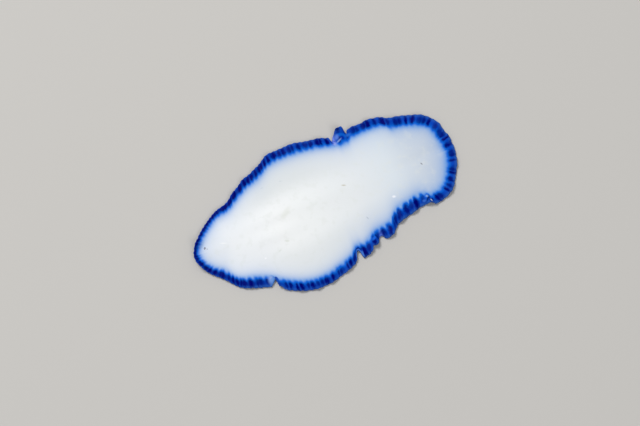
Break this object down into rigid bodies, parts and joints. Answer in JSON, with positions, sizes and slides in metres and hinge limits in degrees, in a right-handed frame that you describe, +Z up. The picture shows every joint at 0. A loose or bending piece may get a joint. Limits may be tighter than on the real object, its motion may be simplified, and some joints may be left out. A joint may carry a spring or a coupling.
{
  "type": "marine flatworm",
  "caption": "Still, life-size polyclad flatworm lying flat: a thin creamy-white leaf of a body with a ruffled deep-blue margin, rim folds at the head and a belly sucker.",
  "frame": {"origin": "middle of the footprint, on the surface that the belly lies on", "axes": "+X from the head to the tail, +Y to the animal's right, +Z up from the belly to the back"},
  "size_m": [0.046, 0.0236, 0.0018],
  "materials": {
    "white_skin": "wet, glossy, translucent creamy-white skin, bluish towards the margin",
    "blue_margin": "wet, glossy azure skin with navy spots drawn out across the band and a soft pale inner edge",
    "dark_blue_rim": "wet, glossy navy skin, nearly without gaps between its spots",
    "eye_pigment": "dark specks under a wet skin",
    "sucker_skin": "pale, wet skin"
  },
  "bodies": {
    "root": {"head": "white_skin", "throat_region": "white_skin", "midbody": "white_skin", "hind_body": "white_skin", "tail": "white_skin", "margin_right_1": "blue_margin", "margin_right_2": "blue_margin", "margin_right_3": "blue_margin", "margin_right_4": "blue_margin", "margin_curl": "blue_margin", "margin_right_5": "blue_margin", "margin_right_6": "blue_margin", "margin_left_1": "blue_margin", "margin_left_2": "blue_margin", "margin_left_3": "blue_margin", "margin_left_4": "blue_margin", "margin_left_5": "blue_margin", "margin_left_6": "blue_margin", "margin_left_7": "blue_margin", "margin_tail": "blue_margin", "margin_front": "dark_blue_rim", "pseudotentacle_right": "dark_blue_rim", "pseudotentacle_left": "dark_blue_rim", "cerebral_eyes": "eye_pigment", "ventral_sucker": "sucker_skin"}
  },
  "joints": []
}
